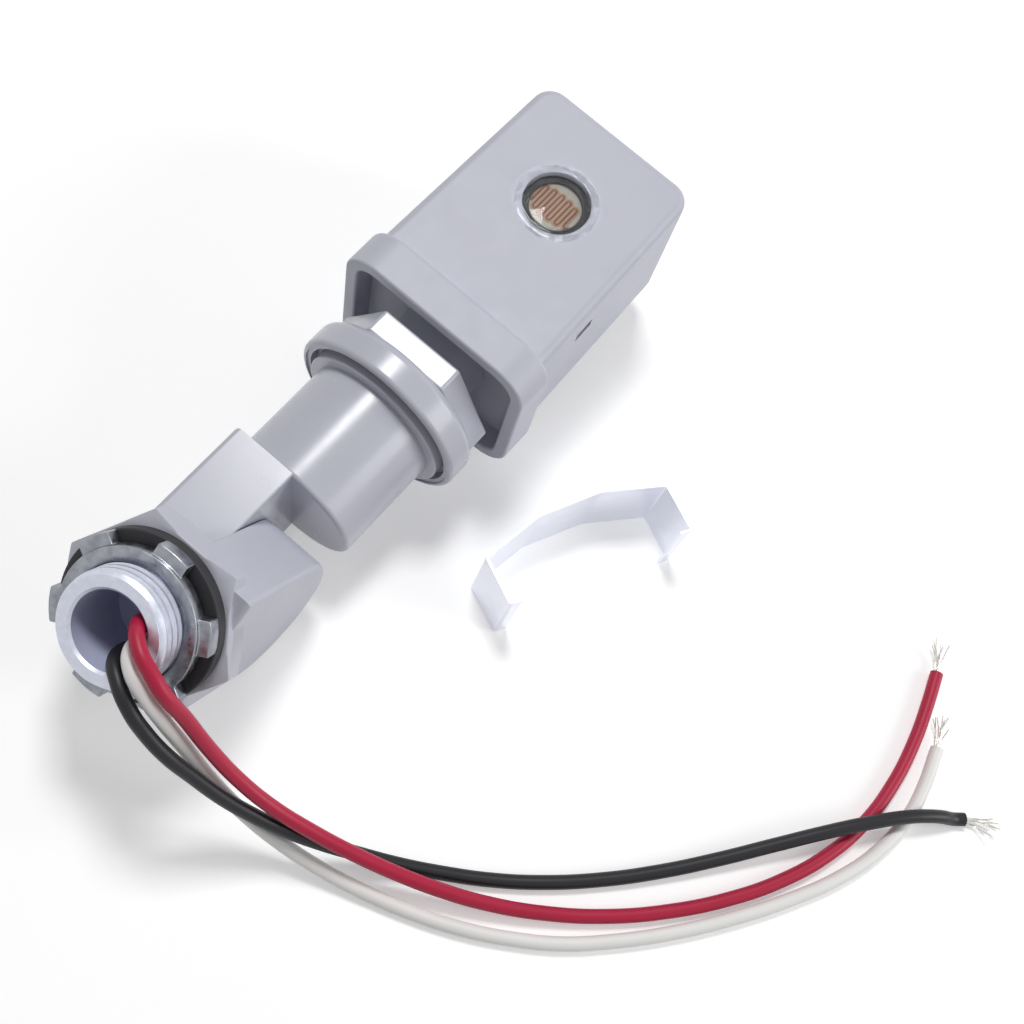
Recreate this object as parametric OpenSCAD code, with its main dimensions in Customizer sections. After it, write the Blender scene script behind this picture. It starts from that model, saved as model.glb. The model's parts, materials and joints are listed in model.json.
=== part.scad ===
// Swivel photocell switch: a photocell head on a half-lap knuckle and a threaded conduit nipple.
// Millimetres, +Z up. The origin is the centre of the nipple's seating face.
// The part lies on its knuckle and its flange ring, with the lens up and the nipple raised by the swivel.

/* [Swivel] */
// Bend of the swivel away from straight
swivel_bend = 50; // [30:1:70]
// Seating face to pivot
pivot_height = 26; // [25:0.5:32]
// Half width of the knuckle, and the radius of its round ends
knuckle_r = 14; // [12.5:0.25:15]
// Gap between the two lap faces
lap_gap = 0.3; // [0.2:0.05:0.6]
// Pivot to the shoulder that the barrel ends in
shoulder_x = 20.5; // [17:0.5:24]
// Radius of the pivot screw's shank
screw_r = 2.4; // [2:0.1:3]
// Running clearance round the pivot screw
screw_clearance = 0.05; // [0.02:0.01:0.1]

/* [Stem] */
// Thread diameter of the nipple
thread_d = 20.9; // [20:0.1:22]
// Seating face to the nipple's mouth
nipple_length = 11.7; // [10:0.1:20]
// Bore of the nipple
nipple_bore = 14.4; // [12:0.1:15.5]
// Across the flats of both hexagons
hex_af = 31.75; // [30:0.25:36]
// Thickness of the stem's hexagon
hex_t = 6; // [4.5:0.25:7]
// Diameter of the sealing gasket
gasket_d = 31; // [27:0.5:31.5]
// Thickness of the sealing gasket
gasket_t = 2.6; // [1.5:0.1:3.5]
// Diameter of the locknut over its lugs
locknut_d = 31; // [29:0.5:34]
// Diameter of the locknut between its lugs
locknut_root_d = 26.6; // [25:0.2:28]
// Thickness of the locknut
locknut_t = 2.8; // [2:0.1:4]

/* [Barrel] */
// Diameter of the barrel
barrel_d = 28; // [25:0.25:30]
// Pivot to the front of the flange ring
ring_x = 43.8; // [38:0.2:50]
// Length of the flange ring
ring_t = 7; // [5:0.2:9]
// Diameter of the flange ring
ring_d = 38.8; // [36:0.2:39]
// Thickness of the flange ring's front lip
ring_lip = 1.1; // [0.8:0.1:1.6]
// Depth of the groove behind the lip
ring_groove = 0.4; // [0.2:0.1:1]
// Diameter of the collar that the ring is pressed on
collar_d = 34.4; // [33:0.2:34.6]
// Length of the barrel's hexagon
barrel_hex_t = 5.5; // [4:0.25:7]

/* [Base] */
// Gap between the barrel's hexagon and the mouth of the base
mouth_gap = 3; // [1.5:0.25:5]
// Width of the base
base_w = 44.6; // [44:0.2:48]
// Depth of the base from lens side to back
base_d = 39; // [39:0.2:42]
// Length of the base that shows
base_t = 8.7; // [7:0.1:11]
// Corner radius of the base
base_corner = 7.5; // [5:0.25:9]
// Wall round the mouth of the base
base_wall = 3; // [2:0.25:3.5]
// Depth of the mouth of the base
mouth_depth = 5; // [3:0.25:6]
// Length of the spigot inside the cover
spigot_l = 4; // [3:0.25:6]

/* [Cover] */
// Length of the cover
cover_l = 49.2; // [46:0.2:54]
// Width of the cover at the base
cover_w = 40; // [39:0.2:42]
// Depth of the cover from lens side to back
cover_d = 34.4; // [33:0.2:36]
// Draft of the cover's sides
cover_draft = 1; // [0:0.25:1.5]
// Wall of the cover
cover_wall = 2; // [1.6:0.1:2.6]
// Radius of the long edges
cover_edge = 2; // [1.5:0.25:4.5]
// Radius of the far corners, seen from the lens side
cover_corner = 4.5; // [3:0.25:6]
// Base to the middle of the lens
lens_x = 28.2; // [24:0.2:32]
// Diameter of the lens rim
lens_d = 17.2; // [15:0.2:19]
// Diameter of the lens opening in the cover
lens_hole_d = 14; // [12:0.2:14.6]
// Base to the middle of the side slots
slot_x = 15; // [10:0.5:18]
// Width of the side slots
slot_w = 5; // [3:0.25:7]
// Height of the side slots
slot_h = 3; // [2:0.25:4]
// Middle of the side slots above the middle of the cover
slot_z = 8; // [4:0.5:9]

/* [Works] */
// Diameter of the photocell
cell_d = 11.4; // [9:0.2:12]
// Thickness of the photocell
cell_t = 2; // [1.5:0.1:3]
// Length of the circuit board
board_l = 38; // [34:0.5:40]
// Width of the circuit board
board_w = 30; // [26:0.5:32]
// Thickness of the circuit board
board_t = 1.6; // [1:0.1:2]
// Middle of the board below the middle of the cover
board_drop = 6; // [4:0.5:8]

/* [Clip] */
// Width of the clip's strip
clip_strip = 16; // [10:0.5:18]
// Thickness of the clip's strip
clip_t = 0.6; // [0.4:0.05:1]
// Length of each of the crown's three flats
clip_flat = 14.3; // [12:0.1:16]
// Turn at each fold of the crown
clip_fold = 16; // [10:1:20]
// Length of the clip's legs
clip_leg = 10.4; // [8:0.2:13]
// Length of the hooks
clip_hook = 2.6; // [2:0.1:4]

/* [Wires] */
// Diameter of the wires over the insulation
wire_d = 2.8; // [2.4:0.1:2.8]
// Diameter of a wire's bare strands
strand_d = 1.5; // [1:0.1:1.8]

/* [Hidden] */
$fn = 72;

// Small clearances shared by the pieces that fit each other
fit_gap = 0.1;
weld = 0.01;
cut = 1;

// Places along the head, measured from the pivot
ring_end = ring_x + ring_t;
hex_end = ring_end + barrel_hex_t;
mouth_x = hex_end + mouth_gap;
base_floor = mouth_x + mouth_depth;
cover_x = mouth_x + base_t;
lens_at = cover_x + lens_x;

// How the part lies: on the round end of the knuckle and on the flange ring or the base
function lean(x, drop, round) = atan2(drop, x) - asin((knuckle_r - round) / norm([x, drop]));
lay = max(
    lean(ring_x + ring_lip, ring_d / 2 - ring_lip, ring_lip),
    lean(mouth_x, base_d / 2, 0)
);
pivot = pivot_height * [cos(swivel_bend - lay), 0, -sin(swivel_bend - lay)];
floor_z = pivot[2] - knuckle_r;

// Knuckle and its pivot screw
wire_chamber = [5, 10.5, 7];
screw_head = [4.6, 3];
screw_end = 3;
head_pocket_r = 6.2;
head_pocket = 4.6;
washer_t = 1;
bore_floor = 3.5;
passage = [3.4, -4];

// Head nipple that screws into the barrel
head_nipple_r = 10.2;
head_nipple_l = 8.5;
head_bore_r = 6;

// Cover and lens
cover_half_w = cover_w / 2;
cover_half_d = cover_d / 2;
lens_rim_t = 1.1;
lens_skirt = cover_wall - 0.6;
lens_skirt_t = 1;
seal_t = 0.6;
seal_r = lens_hole_d / 2 - fit_gap;
seal_lap = 0.4;

// Board, what stands on it, and the slots that hold its edge
board_x = cover_x + fit_gap;
board_top = -board_drop + board_t / 2;
board_bottom = -board_drop - board_t / 2;
cell_top = cover_half_d - lens_skirt - seal_t;
rail_l = 9;
rail_w = 3.5;
rail_h = 5;

// Routes of the three wires from the stem's passage to the floor
red_route = [
    [5.5, -3.3, -3], [1.9, -3.3, 0.5], [-1.6, -3, 5.3], [-4.6, -3.1, 10.1], [-7.9, -6.5, 11.7],
    [-9.4, -10.5, 11], [-10.1, -14, 8.9], [-9.5, -18, 3.4], [-9.1, -23.7, -3.8],
    [-8.3, -29.9, -10.4], [-6.8, -36.9, -15.9], [-4.5, -44.6, -20.1], [-1.9, -52.4, -23.2],
    [1, -60.2, -25.5], [4.3, -68.1, -27.1], [8.6, -76.6, -28.5], [14.8, -86.3, -29.6],
    [22.4, -95.8, -30.2], [31.1, -104.4, -30.4], [40.8, -112.1, -30.4],
    [51.1, -118.4, -30.4], [61.9, -122.9, -30.4], [72.2, -125.1, -30.4],
    [82.8, -125.4, -30.4], [93.5, -124.1, -30.4], [102.1, -122.1, -30.4],
    [109.7, -119.9, -30.4]
];
black_route = [
    [3.2, -3.3, -5.3], [-0.4, -3.3, -1.9], [-5.5, -3.2, 1.6], [-10.3, -3.5, 5.3],
    [-13.1, -6.9, 6.4], [-14.9, -11.2, 5], [-15.3, -14.9, 1.8], [-15, -19.7, -2.2],
    [-13.7, -24.3, -7], [-12.2, -29.3, -11.9], [-10.2, -34.3, -16.5], [-7.6, -40, -20.7],
    [-4.2, -46.5, -24.4], [-0.3, -53.4, -27.1], [3.7, -60.4, -28.9], [8, -67.3, -29.9],
    [13, -74.7, -30.4], [19.1, -82.4, -30.4], [26.9, -90.6, -30.4], [35.9, -98.6, -30.2],
    [45.1, -105.8, -29.6], [55.1, -113.1, -28.6], [64.6, -120.1, -27.5],
    [70.9, -125, -27.1], [77.2, -130.3, -27.1], [80.3, -133.3, -27.6],
    [83.4, -136.6, -28.8], [85.6, -139.2, -30.4], [87.1, -141, -30.4]
];
white_route = [
    [4.4, -5.8, -4.1], [0.7, -5.8, -0.7], [-3.5, -4.9, 3.6], [-7.4, -4.5, 6.9],
    [-10.7, -7.5, 8.5], [-12, -11.9, 6.9], [-12, -15.6, 2.3], [-11.5, -19.8, -4.1],
    [-11, -25.9, -12.4], [-10.1, -32.9, -19.6], [-8.6, -41.4, -25.3], [-6.5, -50.3, -28.8],
    [-4.1, -59, -30.2], [-1.4, -67, -30.4], [2.4, -75.9, -30.4], [7.4, -84.7, -30.4],
    [12.8, -92.3, -30.4], [19.6, -99.5, -30.4], [28.2, -107.2, -30.4], [38, -114.6, -30.4],
    [48.9, -121.6, -30.4], [59.6, -127.2, -30.4], [69.2, -130.4, -30.4],
    [78.5, -131.5, -30.4], [86.7, -130.8, -30.4], [95.7, -128.7, -30.4]
];
red_tip = [[109.7, -119.9, -30.4], [113.5, -118.8, -30.4], [117.3, -118.1, -30.4]];
black_tip = [[87.1, -141, -30.4], [88.7, -142.9, -30.4], [91.9, -145.3, -30.4]];
white_tip = [[95.7, -128.7, -30.4], [100.1, -127.7, -30.4], [103.2, -124.9, -30.4]];
wire_sides = 8;
sweep_reference = [0.7, 0.7, 0.1];

// Where the clip stands
clip_place = [75.5, -43.1];
clip_turn = -24;

// Vectors and swept tubes
function unit(v) = v / norm(v);
function tangent(path, i) =
    unit(path[min(i + 1, len(path) - 1)] - path[max(i - 1, 0)]);
function ring_points(path, i, r) =
    let (t = tangent(path, i), u = unit(cross(t, sweep_reference)), v = cross(t, u))
    [for (k = [0 : wire_sides - 1])
        path[i] + r * (cos(360 * k / wire_sides) * u + sin(360 * k / wire_sides) * v)];
function tube_points(path, r) =
    [for (i = [0 : len(path) - 1]) each ring_points(path, i, r)];
function tube_faces(rings) = concat(
    [[for (k = [0 : wire_sides - 1]) k]],
    [for (i = [0 : rings - 2], k = [0 : wire_sides - 1])
        let (a = i * wire_sides + k, b = i * wire_sides + (k + 1) % wire_sides)
        each [[a, a + wire_sides, b], [b, a + wire_sides, b + wire_sides]]],
    [[for (k = [wire_sides - 1 : -1 : 0]) (rings - 1) * wire_sides + k]]
);

module tube(path, r) {
    polyhedron(tube_points(path, r), tube_faces(len(path)));
}

// Frames: the stem's own +Z runs from the nipple to the pivot, the head's +X from the pivot to its end
module stem_pose() {
    rotate([0, 90 + swivel_bend - lay, 0]) children();
}

module head_pose() {
    translate(pivot) rotate([0, -lay, 0]) children();
}

// Shapes along +X and along Y
module along_x(x = 0) {
    translate([x, 0, 0]) rotate([90, 0, 90]) children();
}

module rod_y(r, y0, y1) {
    translate([0, y0, 0]) rotate([-90, 0, 0]) cylinder(r = r, h = y1 - y0);
}

module hexagon(af) {
    rotate(30) circle(r = af / 2 / cos(30), $fn = 6);
}

module rounded_rectangle(w, h, r) {
    square([w - 2 * r, h], center = true);
    square([w, h - 2 * r], center = true);
    for (x = [-1, 1], y = [-1, 1])
        translate([x * (w / 2 - r), y * (h / 2 - r)]) circle(r);
}

// A convex outline whose corners are rounded about the given centres, listed anticlockwise
module rounded_outline(centres, r) {
    n = len(centres);
    polygon([for (i = [0 : n - 1])
        let (a = centres[i], b = centres[(i + 1) % n], d = unit(b - a), out = r * [d[1], -d[0]])
        each [a + out, b + out]]);
    for (c = centres) translate(c) circle(r);
}

// Half of the knuckle on the +Y side: a flat tongue with a round end about the pivot
module tongue(reach) {
    rod_y(knuckle_r, lap_gap / 2, knuckle_r);
    translate([0, lap_gap / 2, -knuckle_r])
        cube([reach, knuckle_r - lap_gap / 2, 2 * knuckle_r]);
}

// Ring-shaped room in a lap face for the wires to pass the pivot screw
module wire_room() {
    difference() {
        rod_y(wire_chamber[1], -cut, wire_chamber[2]);
        rod_y(wire_chamber[0], -2 * cut, wire_chamber[2] + cut);
    }
}

// One casting: nipple, hexagon and one half of the knuckle
module mounting_stem() {
    reach = pivot_height - hex_t + weld;
    chamfer_r = hex_af / 2;
    color("gainsboro") stem_pose() difference() {
        union() {
            intersection() {
                linear_extrude(hex_t) hexagon(hex_af);
                cylinder(r1 = chamfer_r, r2 = chamfer_r + hex_t * tan(60), h = hex_t);
                cylinder(r1 = chamfer_r + hex_t * tan(60), r2 = chamfer_r, h = hex_t);
            }
            translate([0, 0, -nipple_length]) cylinder(d = thread_d, h = nipple_length + weld);
            translate([0, 0, pivot_height]) rotate([0, 90, 180]) tongue(reach);
        }
        translate([0, 0, -nipple_length - cut])
            cylinder(d = nipple_bore, h = nipple_length + bore_floor + cut);
        translate([0, passage[1], 0])
            cylinder(r = passage[0], h = pivot_height - wire_chamber[0] - screw_r);
        translate([0, 0, pivot_height]) rotate([0, 90, 180]) {
            wire_room();
            rod_y(screw_r + screw_clearance, -cut, knuckle_r - screw_end + fit_gap);
        }
    }
}

// Rubber ring between the hexagon and the box
module sealing_gasket() {
    color("black") stem_pose() translate([0, 0, -gasket_t]) difference() {
        cylinder(d = gasket_d, h = gasket_t);
        translate([0, 0, -cut]) cylinder(d = thread_d + 2 * fit_gap, h = gasket_t + 2 * cut);
    }
}

// Stamped locknut with six lugs bent back towards the box
module locknut() {
    lugs = 6;
    lug_w = 6.4;
    lug_drop = 0.8;
    color("silver") stem_pose() translate([0, 0, -gasket_t - lug_drop - locknut_t]) difference() {
        union() {
            cylinder(d = locknut_root_d, h = locknut_t);
            translate([0, 0, lug_drop]) intersection() {
                cylinder(d = locknut_d, h = locknut_t);
                for (k = [0 : lugs - 1]) rotate(360 * k / lugs)
                    translate([thread_d / 2 + 1, -lug_w / 2, 0]) cube([locknut_d, lug_w, locknut_t]);
            }
        }
        translate([0, 0, -cut]) cylinder(d = thread_d + 2 * fit_gap, h = locknut_t + lug_drop + 2 * cut);
    }
}

// Screw that the head swivels on; its slotted head sits in the barrel's pocket, its end in the stem
module pivot_screw() {
    slot = [1.2, 1.2];
    under = knuckle_r - head_pocket + washer_t;
    color("silver") head_pose() difference() {
        union() {
            rod_y(screw_r, -knuckle_r + screw_end, under + weld);
            rod_y(screw_head[0], under, under + screw_head[1]);
        }
        translate([-screw_head[0], under + screw_head[1] - slot[1], -slot[0] / 2])
            cube([2 * screw_head[0], slot[1] + cut, slot[0]]);
    }
}

module pivot_washer() {
    color("silver") head_pose() difference() {
        rod_y(head_pocket_r - 2 * fit_gap, knuckle_r - head_pocket, knuckle_r - head_pocket + washer_t);
        rod_y(screw_r + screw_clearance, 0, knuckle_r);
    }
}

// One moulding: the other half of the knuckle, the round barrel, its collar and hexagon
module swivel_barrel() {
    color("lightgrey") head_pose() difference() {
        union() {
            tongue(shoulder_x + weld);
            along_x(shoulder_x) cylinder(d = barrel_d, h = ring_end - shoulder_x);
            along_x(ring_x - cut) cylinder(d = collar_d, h = ring_t + cut + weld);
            along_x(ring_end) linear_extrude(barrel_hex_t) rotate(90) hexagon(hex_af);
        }
        along_x(hex_end - head_nipple_l) cylinder(r = head_nipple_r + fit_gap, h = head_nipple_l + cut);
        along_x(shoulder_x + base_wall) cylinder(r = head_bore_r, h = hex_end);
        translate([0, -passage[1], 0]) along_x(wire_chamber[0] + screw_r)
            cylinder(r = passage[0], h = shoulder_x);
        wire_room();
        rod_y(screw_r + screw_clearance, -cut, knuckle_r + cut);
        rod_y(head_pocket_r, knuckle_r - head_pocket, knuckle_r + cut);
    }
}

// Round-edged ring pressed on the barrel's collar, with a groove inside its front lip
module flange_ring() {
    outer_r = ring_d / 2;
    back = 2;
    color("lightgrey") head_pose() along_x(ring_x) difference() {
        rotate_extrude() {
            square([outer_r - back, ring_t]);
            square([outer_r - ring_lip, ring_t - back]);
            translate([0, ring_lip]) square([outer_r, ring_t - back - ring_lip]);
            translate([outer_r - ring_lip, ring_lip]) circle(ring_lip);
            translate([outer_r - back, ring_t - back]) circle(back);
        }
        translate([0, 0, -cut]) cylinder(r = collar_d / 2 + fit_gap, h = ring_t + 2 * cut);
        translate([0, 0, -cut]) cylinder(r = outer_r - ring_lip, h = ring_groove + cut);
    }
}

// Base moulding: skirt with an open mouth, hollow nipple, spigot for the cover and board slots
module base() {
    spigot_gap = fit_gap + spigot_l * tan(cover_draft);
    spigot_w = cover_w - 2 * cover_wall - 2 * spigot_gap;
    spigot_d = cover_d - 2 * cover_wall - 2 * fit_gap;
    spigot_wall = 1.6;
    color("lightgrey") head_pose() difference() {
        union() {
            difference() {
                along_x(mouth_x) linear_extrude(base_t) rounded_rectangle(base_w, base_d, base_corner);
                along_x(mouth_x - cut) linear_extrude(mouth_depth + cut)
                    rounded_rectangle(base_w - 2 * base_wall, base_d - 2 * base_wall, base_corner - base_wall);
            }
            along_x(hex_end - head_nipple_l + cut)
                cylinder(r = head_nipple_r, h = base_floor - hex_end + head_nipple_l);
            along_x(cover_x - weld) linear_extrude(spigot_l) difference() {
                rounded_rectangle(spigot_w, spigot_d, cover_edge);
                rounded_rectangle(spigot_w - 2 * spigot_wall, spigot_d - 2 * spigot_wall, cover_edge / 2);
            }
            for (side = [-1, 1])
                translate([cover_x - weld, side * (board_w / 2) - rail_w / 2, -board_drop - rail_h / 2])
                    cube([rail_l, rail_w, rail_h]);
        }
        along_x(hex_end - head_nipple_l) cylinder(r = head_bore_r, h = cover_l);
        translate([board_x - fit_gap, -board_w / 2 - fit_gap, board_bottom - fit_gap])
            cube([cover_l, board_w + 2 * fit_gap, board_t + 2 * fit_gap]);
    }
}

// Circuit board, held by its edge in the slots of the base
module circuit_board() {
    color("tan") head_pose() translate([board_x, -board_w / 2, board_bottom])
        cube([board_l, board_w, board_t]);
}

// Ceramic photocell under the lens, standing on its two leads
module photocell() {
    color("linen") head_pose() translate([lens_at, 0, cell_top - cell_t]) cylinder(d = cell_d, h = cell_t);
}

module photocell_leads() {
    lead_r = 0.4;
    spread = 3;
    color("silver") head_pose() for (side = [-1, 1])
        translate([lens_at, side * spread, board_top])
            cylinder(r = lead_r, h = cell_top - cell_t - board_top);
}

// Thermal switch on the board: a heater under a bimetal blade that opens a contact
switch_x = board_x + 12;
switch_y = -9;
blade_l = 20;
blade_w = 5;
blade_t = 0.5;
blade_z = board_top + 7;
bracket = [4, 6];

module blade_bracket() {
    color("goldenrod") head_pose() translate([switch_x, switch_y - bracket[1] / 2, board_top])
        cube([bracket[0], bracket[1], blade_z - board_top]);
}

module bimetal_blade() {
    color("peru") head_pose() translate([switch_x, switch_y - blade_w / 2, blade_z])
        cube([blade_l, blade_w, blade_t]);
}

module contact_bracket() {
    contact = [1.5, 0.8];
    contact_x = switch_x + blade_l - bracket[0];
    top = blade_z - contact[1];
    color("goldenrod") head_pose() {
        translate([contact_x, switch_y - bracket[1] / 2, board_top])
            cube([bracket[0], bracket[1], top - board_top]);
        translate([contact_x + bracket[0] / 2, switch_y, top - weld])
            cylinder(r = contact[0], h = contact[1] + weld);
    }
}

module heater_resistor() {
    body_r = 2;
    body_l = 8;
    middle_x = switch_x + blade_l / 2;
    color("seagreen") head_pose()
        translate([middle_x - body_l / 2, switch_y, board_top + body_r])
            along_x() cylinder(r = body_r, h = body_l);
}

module surge_varistor() {
    disc_r = 6;
    disc_t = 4;
    color("steelblue") head_pose() translate([lens_at + disc_r, 8, board_top + disc_r])
        rod_y(disc_r, -disc_t / 2, disc_t / 2);
}

// Solid of the cover, or of its hollow when drawn smaller by a wall
module cover_solid(inset, back) {
    slope = tan(cover_draft);
    half_d = cover_half_d - inset;
    corner = cover_corner - inset / 2;
    edge = cover_edge - inset / 2;
    near = corner - back;
    far = cover_l - inset - corner;
    near_w = cover_half_w - inset - corner - slope * near;
    far_w = cover_half_w - inset - corner - slope * far;
    far_edge = cover_l - inset - edge;
    translate([cover_x, 0, 0]) intersection() {
        translate([0, 0, -half_d]) linear_extrude(2 * half_d)
            rounded_outline([[near, -near_w], [far, -far_w], [far, far_w], [near, near_w]], corner);
        translate([0, cover_w, 0]) rotate([90, 0, 0]) linear_extrude(2 * cover_w) rounded_outline([
            [-back, edge - half_d], [far_edge, edge - half_d], [far_edge, half_d - edge], [-back, half_d - edge]
        ], edge);
        for_side(1) drafted_edge(half_d, edge, inset);
        for_side(-1) drafted_edge(half_d, edge, inset);
        translate([0, -cover_w, -cover_d]) cube([cover_l, 2 * cover_w, 2 * cover_d]);
    }
}

// Long prism that rounds the long edges of one drafted side; it reaches far past the other side
module drafted_edge(half_d, edge, inset) {
    translate([0, cover_half_w - inset, 0]) rotate([0, 0, -cover_draft]) translate([-2 * cover_l, -cover_w, 0])
        along_x() linear_extrude(4 * cover_l) rounded_rectangle(2 * cover_w, 2 * half_d, edge);
}

module for_side(side) {
    mirror([0, side < 0 ? 1 : 0, 0]) children();
}

// Moulded cover: open at the base, with the lens opening and a slot in each side
module cover() {
    color("lightgrey") head_pose() difference() {
        cover_solid(0, 2 * cover_corner);
        translate([-weld, 0, 0]) cover_solid(cover_wall, 3 * cover_corner);
        translate([lens_at, 0, 0]) cylinder(d = lens_hole_d, h = cover_d);
        translate([cover_x + slot_x - slot_w / 2, -cover_w, slot_z - slot_h / 2])
            cube([slot_w, 2 * cover_w, slot_h]);
    }
}

// Black rubber ring that the lens presses on the photocell's face
module lens_seal() {
    color("black") head_pose() translate([lens_at, 0, cell_top]) difference() {
        cylinder(r = seal_r, h = seal_t);
        translate([0, 0, -cut]) cylinder(r = cell_d / 2 - seal_lap, h = seal_t + 2 * cut);
    }
}

// Clear window: a bevelled rim on the cover and a skirt through the opening
module lens() {
    rim_r = lens_d / 2;
    skirt_r = lens_hole_d / 2 - fit_gap;
    inner_r = skirt_r - lens_skirt_t;
    crown = 0.6;
    bevel = 0.5;
    color("white", 0.4) head_pose() translate([lens_at, 0, cover_half_d]) rotate_extrude()
        polygon([
            [0, -lens_skirt_t], [inner_r, -lens_skirt_t], [inner_r, -lens_skirt], [skirt_r, -lens_skirt],
            [skirt_r, 0], [rim_r, 0], [rim_r - bevel, lens_rim_t], [inner_r + bevel, lens_rim_t],
            [inner_r, crown], [0, crown]
        ]);
}

module black_wire() {
    color("black") tube(black_route, wire_d / 2);
}

module red_wire() {
    color("crimson") tube(red_route, wire_d / 2);
}

module white_wire() {
    color("ivory") tube(white_route, wire_d / 2);
}

module black_strands() {
    color("silver") tube(black_tip, strand_d / 2);
}

module red_strands() {
    color("silver") tube(red_tip, strand_d / 2);
}

module white_strands() {
    color("silver") tube(white_tip, strand_d / 2);
}

// Folded strip with hooked legs that clips over the lens, taken off and standing on its edge
function clip_half() =
    let (a = [clip_flat / 2, 0],
         b = a + clip_flat * [cos(clip_fold), -sin(clip_fold)],
         c = b + clip_leg * [0, -1],
         d = c + clip_hook * [-1, 0])
    [a, b, c, d];

module clip_flat_run(a, b) {
    translate([a[0], a[1]]) rotate(atan2(b[1] - a[1], b[0] - a[0]))
        translate([0, -clip_t / 2]) square([norm(b - a), clip_t]);
    for (p = [a, b]) translate(p) circle(d = clip_t);
}

module light_shield_clip() {
    half = clip_half();
    color("whitesmoke") translate([clip_place[0], clip_place[1], floor_z]) rotate(clip_turn)
        translate([0, clip_flat * sin(clip_fold), 0]) linear_extrude(clip_strip) {
            clip_flat_run([-half[0][0], half[0][1]], half[0]);
            for (side = [0, 1]) mirror([side, 0]) for (i = [0 : 2]) clip_flat_run(half[i], half[i + 1]);
        }
}

mounting_stem();
sealing_gasket();
locknut();
pivot_screw();
pivot_washer();
swivel_barrel();
flange_ring();
base();
circuit_board();
photocell();
photocell_leads();
heater_resistor();
bimetal_blade();
blade_bracket();
contact_bracket();
surge_varistor();
cover();
lens_seal();
lens();
black_wire();
red_wire();
white_wire();
black_strands();
red_strands();
white_strands();
light_shield_clip();
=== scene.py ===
import json
import math
import bpy
from mathutils import Matrix, Vector


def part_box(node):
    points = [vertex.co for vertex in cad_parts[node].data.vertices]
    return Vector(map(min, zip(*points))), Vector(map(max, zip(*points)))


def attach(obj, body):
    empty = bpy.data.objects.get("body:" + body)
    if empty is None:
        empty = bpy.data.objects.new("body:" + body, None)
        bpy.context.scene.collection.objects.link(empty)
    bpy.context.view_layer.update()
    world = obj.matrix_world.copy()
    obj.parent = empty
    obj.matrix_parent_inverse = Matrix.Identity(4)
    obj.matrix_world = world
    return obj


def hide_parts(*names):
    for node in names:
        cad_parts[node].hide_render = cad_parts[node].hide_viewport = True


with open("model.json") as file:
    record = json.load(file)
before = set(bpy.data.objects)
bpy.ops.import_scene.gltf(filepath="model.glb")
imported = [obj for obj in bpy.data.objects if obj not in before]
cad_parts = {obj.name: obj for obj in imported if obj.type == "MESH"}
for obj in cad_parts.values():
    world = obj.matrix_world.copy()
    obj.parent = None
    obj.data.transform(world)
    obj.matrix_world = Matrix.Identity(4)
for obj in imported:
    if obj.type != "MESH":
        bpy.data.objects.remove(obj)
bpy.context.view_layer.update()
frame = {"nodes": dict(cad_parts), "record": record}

bpy.ops.object.select_all(action="DESELECT")

# Camera. The view is the photographer's: from above, on the stem side, with the camera rolled
# so that the switch runs from the lower left to the upper right of the square frame.
picture_px = 1024
focal_px = 1518.845
sensor_mm = 36
view = bpy.data.cameras.new("photo_view")
view.sensor_width = sensor_mm
view.lens = focal_px / picture_px * sensor_mm
view.clip_start = 0.01
camera = bpy.data.objects.new("photo_view", view)
bpy.context.collection.objects.link(camera)
right = Vector((0.6149815, -0.7604279, 0.2086796))
down = Vector((-0.6564511, -0.6403337, -0.3988041))
ahead = right.cross(down)
stand = Vector((-0.063304, -0.06453, 0.2511433))
camera.matrix_world = Matrix((
    (right.x, -down.x, -ahead.x, stand.x),
    (right.y, -down.y, -ahead.y, stand.y),
    (right.z, -down.z, -ahead.z, stand.z),
    (0, 0, 0, 1),
))
bpy.context.scene.camera = camera

# Studio. White paper in a pale room, with a broad lamp low on the wires' side, as from a window, and a
# smaller one overhead, a little past the head. Seen directly or in a reflection, the room and the paper
# are brighter than the light they give, so that the ground is white and the shadow under the part stays.
scene = bpy.context.scene
scene.view_settings.view_transform = "Standard"
room_light = 0.24
room_seen = 1.0
paper_size = 20
paper_gap = 0.00005
near_glow = 0.3
far_glow = 0.8
lamp_aim = Vector((0.05, -0.03, 0))


def linear(hex_colour):
    """The linear colour of an sRGB hex value, with an alpha of one."""
    parts = [int(hex_colour[i:i + 2], 16) / 255 for i in (1, 3, 5)]
    return [c / 12.92 if c <= 0.04045 else ((c + 0.055) / 1.055) ** 2.4 for c in parts] + [1]


def add_node(tree, kind, links=(), values=(), **settings):
    """Adds a node to the tree, with its settings, its sockets' values and what its sockets are fed by."""
    made = tree.nodes.new(kind)
    for key, value in settings.items():
        setattr(made, key, value)
    for socket, value in dict(values).items():
        made.inputs[socket].default_value = value
    for socket, source in dict(links).items():
        tree.links.new(source, made.inputs[socket])
    return made


def seen_directly(tree):
    """One for rays from the camera and those that metal or glass sends on, nought for the light itself."""
    path = add_node(tree, "ShaderNodeLightPath").outputs
    mirrored = add_node(tree, "ShaderNodeMath", {0: path["Is Camera Ray"], 1: path["Is Glossy Ray"]})
    passed = {0: mirrored.outputs[0], 1: path["Is Transmission Ray"]}
    return add_node(tree, "ShaderNodeMath", passed, use_clamp=True).outputs[0]


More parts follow.
